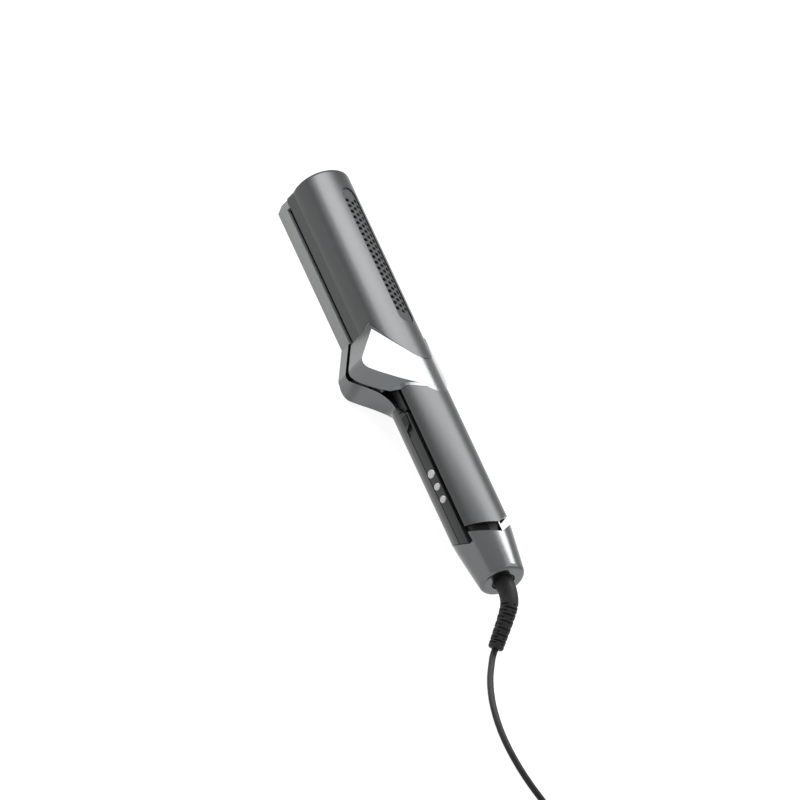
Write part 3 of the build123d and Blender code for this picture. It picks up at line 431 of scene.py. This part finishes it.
back_sections = [[track[k] for track in back_tracks] for k in range(STEPS_BEHIND)]
print(f"{len(back_sections)} sections lead from the wing tips to the handle")

# %% The skin over the sections
SHARP_FROM = math.radians(24)


def skin_over(name, sections):
    """A closed skin over half sections and their mirror images."""
    vertices, faces = [], []
    for half in sections:
        ring = half + [Vector((p.x, -p.y, p.z)) for p in reversed(half[1:-1])]
        for p in ring:
            vertices.append((p.x - BODY_LENGTH / 2, p.y, p.z + AXIS_HEIGHT))
    count = 2 * len(sections[0]) - 2
    for k in range(len(sections) - 1):
        for j in range(count):
            a, b = k * count + j, k * count + (j + 1) % count
            faces.append((a, b, b + count, a + count))
    last = (len(sections) - 1) * count
    faces.append(tuple(reversed(range(count))))
    faces.append(tuple(range(last, last + count)))
    mesh = bpy.data.meshes.new(name)
    mesh.from_pydata(vertices, [], faces)
    mesh.shade_smooth()
    mesh.set_sharp_from_angle(angle=SHARP_FROM)
    made = bpy.data.objects.new(name, mesh)
    bpy.context.scene.collection.objects.link(made)
    return made


flared_shoulder = skin_over("flared_shoulder", front_sections + back_sections)
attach(flared_shoulder, "lower_arm")
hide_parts("lower_shoulder")
print(f"the lower shoulder's skin has {len(flared_shoulder.data.polygons)} faces")

# %% [markdown]
# ## Finishes
# The styler has few finishes, but each must react to light as the real one does. Each is
# a small node tree on the Principled shader: numbers that are the same all over stand on
# the shader's own sockets, and only what varies, such as a fine grain, is wired in. Where
# a texture is wired in, the plain value is the middle that the texture wanders about.

# %% A new material
def finish_material(name, color, metallic, roughness, coat=0.0):
    """A new material with these plain values on its Principled shader."""
    material = bpy.data.materials.new(name)
    material.use_nodes = True
    shader = material.node_tree.nodes["Principled BSDF"]
    shader.inputs["Base Color"].default_value = (*color, 1.0)
    shader.inputs["Metallic"].default_value = metallic
    shader.inputs["Roughness"].default_value = roughness
    shader.inputs["Coat Weight"].default_value = coat
    return material, shader


def give(material, *names):
    """Puts a finish on CAD nodes or on pieces made here."""
    for name in names:
        thing = bpy.data.objects[name]
        if not thing.material_slots:
            thing.data.materials.append(material)
        for slot in thing.material_slots:
            slot.material = material


print("helpers for materials are ready")

# %% [markdown]
# ### What varies in a finish
# No real surface is the same all over. A noise texture in object space, which needs no
# unwrapping, drives small changes of colour, of roughness or of height. Its scale is set in
# cycles to the metre, so a fine grain has a scale in the thousands.

# %% Noise and what it drives
def noise(material, scale, detail=3.0, stretch=(1.0, 1.0, 1.0)):
    """A noise texture in object space, with its own stretch along the axes."""
    tree = material.node_tree
    place = tree.nodes.new("ShaderNodeTexCoord")
    mapping = tree.nodes.new("ShaderNodeMapping")
    mapping.inputs["Scale"].default_value = stretch
    texture = tree.nodes.new("ShaderNodeTexNoise")
    texture.inputs["Scale"].default_value = scale
    texture.inputs["Detail"].default_value = detail
    tree.links.new(place.outputs["Object"], mapping.inputs["Vector"])
    tree.links.new(mapping.outputs["Vector"], texture.inputs["Vector"])
    return texture


LOW_END = 0.35
HIGH_END = 0.65


def vary_color(material, shader, texture, low, high):
    """The base colour wanders between two close colours with the texture."""
    tree = material.node_tree
    ramp = tree.nodes.new("ShaderNodeValToRGB")
    ramp.color_ramp.elements[0].position = LOW_END
    ramp.color_ramp.elements[1].position = HIGH_END
    ramp.color_ramp.elements[0].color = (*low, 1.0)
    ramp.color_ramp.elements[1].color = (*high, 1.0)
    tree.links.new(texture.outputs["Fac"], ramp.inputs["Fac"])
    tree.links.new(ramp.outputs["Color"], shader.inputs["Base Color"])


def vary_roughness(material, shader, texture, low, high):
    """The roughness wanders between two values with the texture."""
    tree = material.node_tree
    span = tree.nodes.new("ShaderNodeMapRange")
    span.inputs["To Min"].default_value = low
    span.inputs["To Max"].default_value = high
    tree.links.new(texture.outputs["Fac"], span.inputs["Value"])
    tree.links.new(span.outputs["Result"], shader.inputs["Roughness"])


def add_bump(material, shader, texture, strength, depth):
    """A fine relief from the texture, up to this depth."""
    tree = material.node_tree
    bump = tree.nodes.new("ShaderNodeBump")
    bump.inputs["Strength"].default_value = strength
    bump.inputs["Distance"].default_value = depth
    tree.links.new(texture.outputs["Fac"], bump.inputs["Height"])
    tree.links.new(bump.outputs["Normal"], shader.inputs["Normal"])


print("helpers for grain and wear are ready")

# %% [markdown]
# ### Gunmetal paint
# The barrel and both shells of the handle have a satin metallic paint. It gives a broad soft
# highlight along each round surface. Real paint holds tiny flakes, so a very fine noise
# shifts the colour and the roughness a little.

# %% Gunmetal paint
gunmetal, shader = finish_material(
    "gunmetal_paint", color=(0.056, 0.057, 0.058), metallic=0.9, roughness=0.34, coat=0.1,
)
shader.inputs["Coat Roughness"].default_value = 0.25
flakes = noise(gunmetal, scale=2600.0, detail=2.0)
vary_color(gunmetal, shader, flakes, low=(0.052, 0.053, 0.054), high=(0.06, 0.061, 0.062))
vary_roughness(gunmetal, shader, flakes, low=0.3, high=0.37)
give(gunmetal, "barrel_shell", "barrel_tip", "upper_handle_shell", "lower_handle_shell")
print("gunmetal paint is on the barrel and the handle")

# %% [markdown]
# ### Grey lower bar
# The lower bar is moulded in a satin grey that leans a little to green, with a faint grain
# from the mould.

# %% Grey moulding
bar_grey, shader = finish_material(
    "bar_grey_moulding", color=(0.13, 0.138, 0.132), metallic=0.0, roughness=0.42,
)
grain = noise(bar_grey, scale=1500.0, detail=4.0)
vary_color(bar_grey, shader, grain, low=(0.122, 0.13, 0.124), high=(0.138, 0.146, 0.14))
add_bump(bar_grey, shader, grain, strength=0.15, depth=0.05 * MM)
give(bar_grey, "lower_bar")
print("satin grey is on the lower bar")

# %% [markdown]
# ### Chrome
# The two flared shoulders and the tail cap are plated and polished. Chrome is almost only
# what it mirrors, so the roughness is low, and a slow noise makes it a touch uneven, as
# plated plastic is. The plating on this styler is a dark one, so it mirrors only a part of
# the light, except where a flat facet faces a lamp.

# %% Chrome
chrome, shader = finish_material(
    "polished_chrome", color=(0.135, 0.139, 0.141), metallic=1.0, roughness=0.21,
)
ripple = noise(chrome, scale=90.0, detail=2.0)
vary_roughness(chrome, shader, ripple, low=0.19, high=0.24)
give(chrome, "upper_shoulder", "lower_shoulder", "flared_shoulder", "tail_cap")
print("chrome is on the shoulders and the tail cap")

# %% [markdown]
# ### Dark plastics
# Everything between and inside the arms is black: the plate holders, the bridge, the
# bracket. They are matt, with a spark-eroded grain. The grille is duller still, so that it
# stays dark beside the bright barrel. The control panel is smoother and takes a dull shine,
# and the two heated plates have a smooth ceramic coat with fine marks along them.

# %% Matt black moulding
black_plastic, shader = finish_material(
    "matt_black_moulding", color=(0.012, 0.012, 0.013), metallic=0.0, roughness=0.55,
)
grain = noise(black_plastic, scale=1800.0, detail=4.0)
vary_roughness(black_plastic, shader, grain, low=0.48, high=0.62)
add_bump(black_plastic, shader, grain, strength=0.2, depth=0.06 * MM)
give(
    black_plastic, "upper_plate_holder", "lower_plate_holder", "motor_bracket", "fan_impeller",
    "shoulder_bridge", "hinge_bracket",
)
print("matt black is on the parts between the arms")

# %% The grille
grille_black, shader = finish_material(
    "grille_black", color=(0.035, 0.036, 0.037), metallic=0.0, roughness=0.6,
)
shader.inputs["Specular IOR Level"].default_value = 0.12
grain = noise(grille_black, scale=1600.0, detail=3.0)
vary_roughness(grille_black, shader, grain, low=0.54, high=0.66)
add_bump(grille_black, shader, grain, strength=0.2, depth=0.05 * MM)
give(grille_black, "vent_grille")
print("the grille is dull black")

# %% The control panel and the heated plates
panel_black, shader = finish_material(
    "panel_black", color=(0.011, 0.012, 0.012), metallic=0.0, roughness=0.34, coat=0.05,
)
shader.inputs["Specular IOR Level"].default_value = 0.3
grain = noise(panel_black, scale=1200.0, detail=3.0)
vary_roughness(panel_black, shader, grain, low=0.3, high=0.38)
give(panel_black, "control_panel", "lock_slider")
plate_black, shader = finish_material(
    "ceramic_black", color=(0.02, 0.02, 0.021), metallic=0.0, roughness=0.18, coat=0.4,
)
sheen_marks = noise(plate_black, scale=300.0, detail=3.0, stretch=(0.1, 1.0, 1.0))
vary_roughness(plate_black, shader, sheen_marks, low=0.15, high=0.24)
give(plate_black, "upper_plate", "lower_plate")
print("the panel and the plates are finished")

# %% [markdown]
# ### Keys, metal parts and boards
# The keys are grey and glossy. Pins, screws, spring and heaters are bare steel with fine
# drawn lines, the hinge's knuckle is blackened steel, and the boards are green laminate.

# %% Keys
key_grey, shader = finish_material(
    "key_grey", color=(0.32, 0.32, 0.315), metallic=0.0, roughness=0.28, coat=0.3,
)
haze = noise(key_grey, scale=900.0, detail=2.0)
vary_roughness(key_grey, shader, haze, low=0.24, high=0.33)
give(key_grey, "power_button", "plus_button", "minus_button")
print("the keys are glossy grey")

# %% Bare and blackened steel
bare_steel, shader = finish_material(
    "bare_steel", color=(0.5, 0.5, 0.51), metallic=1.0, roughness=0.3,
)
drawn = noise(bare_steel, scale=700.0, detail=3.0, stretch=(0.06, 1.0, 1.0))
vary_roughness(bare_steel, shader, drawn, low=0.22, high=0.4)
add_bump(bare_steel, shader, drawn, strength=0.1, depth=0.03 * MM)
give(
    bare_steel, "upper_heater", "lower_heater", "fan_motor", "hinge_pin",
    "leaf_spring", "shell_screws",
)
black_steel, shader = finish_material(
    "blackened_steel", color=(0.03, 0.03, 0.031), metallic=0.6, roughness=0.5,
)
worn = noise(black_steel, scale=400.0, detail=3.0)
vary_roughness(black_steel, shader, worn, low=0.45, high=0.58)
give(black_steel, "hinge_knuckle")
print("the steel parts are finished")

# %% Boards and pins
board_green, shader = finish_material(
    "board_green", color=(0.03, 0.13, 0.05), metallic=0.0, roughness=0.4,
)
weave = noise(board_green, scale=2200.0, detail=2.0)
vary_color(board_green, shader, weave, low=(0.026, 0.12, 0.045), high=(0.036, 0.145, 0.06))
give(board_green, "switch_board", "circuit_board")
pin_metal, shader = finish_material(
    "pin_nickel", color=(0.66, 0.62, 0.52), metallic=1.0, roughness=0.2,
)
rub = noise(pin_metal, scale=500.0, detail=3.0, stretch=(0.1, 1.0, 1.0))
vary_roughness(pin_metal, shader, rub, low=0.15, high=0.3)
give(pin_metal, "plug_pins")
print("the boards and the plug's pins are finished")

# %% [markdown]
# ### Rubber
# The cord, its sleeve and tie, and the plug are soft black plastic, a little worn, so the
# colour and the shine both wander slowly.

# %% Rubber
rubber, shader = finish_material(
    "cord_rubber", color=(0.009, 0.009, 0.01), metallic=0.0, roughness=0.5,
)
shader.inputs["Specular IOR Level"].default_value = 0.2
wear = noise(rubber, scale=220.0, detail=4.0)
vary_color(rubber, shader, wear, low=(0.007, 0.007, 0.008), high=(0.012, 0.012, 0.013))
vary_roughness(rubber, shader, wear, low=0.42, high=0.58)
give(
    rubber, "mains_cord", "ribbed_sleeve", "coil_tie", "plug_body", "cord_grommet",
    "power_cord", "cord_coil", "strain_relief",
)
print("rubber is on the cord and what it carries")

# %% [markdown]
# ## Floor and light
# The photograph was taken on plain white, under soft lamps whose mirror images draw the
# bright bands along the styler. Where a lamp shows on a round shell follows from the law of
# reflection. So one long soft lamp stands where it draws the band along the handle and the
# tail cap, another draws the band along the barrel, and a large one high up with a light sky
# stands for the room. A shiny part would also mirror a brightly lit floor from below, so the
# floor reflects little and glows evenly instead, as a light table does.

# %% The floor
FLOOR_HALF = 3.0
FLOOR_LEVEL = -0.1 * MM
FLOOR_GLOW = 0.92
floor_mesh = bpy.data.meshes.new("studio_floor")
floor_corners = [
    (side_x * FLOOR_HALF, side_y * FLOOR_HALF, FLOOR_LEVEL)
    for side_x, side_y in ((-1, -1), (1, -1), (1, 1), (-1, 1))
]
floor_mesh.from_pydata(floor_corners, [], [(0, 1, 2, 3)])
studio_floor = bpy.data.objects.new("studio_floor", floor_mesh)
bpy.context.scene.collection.objects.link(studio_floor)
floor_paint, shader = finish_material(
    "floor_white", color=(0.14, 0.14, 0.14), metallic=0.0, roughness=0.7,
)
mottle = noise(floor_paint, scale=6.0, detail=2.0)
vary_color(floor_paint, shader, mottle, low=(0.135, 0.135, 0.135), high=(0.145, 0.145, 0.145))
shader.inputs["Emission Color"].default_value = (1.0, 1.0, 1.0, 1.0)
shader.inputs["Emission Strength"].default_value = FLOOR_GLOW
floor_mesh.materials.append(floor_paint)
print(f"the floor lies {-FLOOR_LEVEL / MM:.1f} mm under the styler")


# %% The lamps
def soft_box(name, middle, long_way, target, width, length, power):
    """A rectangular soft lamp that faces a target, with its long side along a direction."""
    data = bpy.data.lights.new(name, "AREA")
    data.shape = "RECTANGLE"
    data.size = width
    data.size_y = length
    data.energy = power
    back = (Vector(middle) - Vector(target)).normalized()
    side = Vector(long_way).cross(back).normalized()
    up_way = back.cross(side)
    lamp = bpy.data.objects.new(name, data)
    lamp.matrix_world = (
        Matrix.Translation(Vector(middle)) @ Matrix((side, up_way, back)).transposed().to_4x4()
    )
    bpy.context.scene.collection.objects.link(lamp)


soft_box(
    "handle_lamp", middle=(-0.185, -0.01, 0.345), long_way=(0.51, 0.84, 0.15),
    target=(0, 0, 0.03), width=0.24, length=0.75, power=3.9,
)
soft_box(
    "head_lamp", middle=(-0.37, -0.27, 0.33), long_way=(0.36, 0.93, 0),
    target=(-0.08, 0, 0.03), width=0.24, length=0.55, power=0.8,
)
soft_box(
    "sky_lamp", middle=(0.6, 0.9, 2.4), long_way=(1, 0, 0),
    target=(0, 0, 0), width=3.0, length=3.0, power=30.0,
)
print("three soft lamps are lit")

# %% The sky
SKY_STRENGTH = 0.8
world = bpy.data.worlds.new("studio_sky")
bpy.context.scene.world = world
world.use_nodes = True
background = world.node_tree.nodes["Background"]
background.inputs["Color"].default_value = (1.0, 1.0, 1.0, 1.0)
background.inputs["Strength"].default_value = SKY_STRENGTH
bpy.context.scene.view_settings.view_transform = "Standard"
print(f"the sky has a strength of {SKY_STRENGTH}")
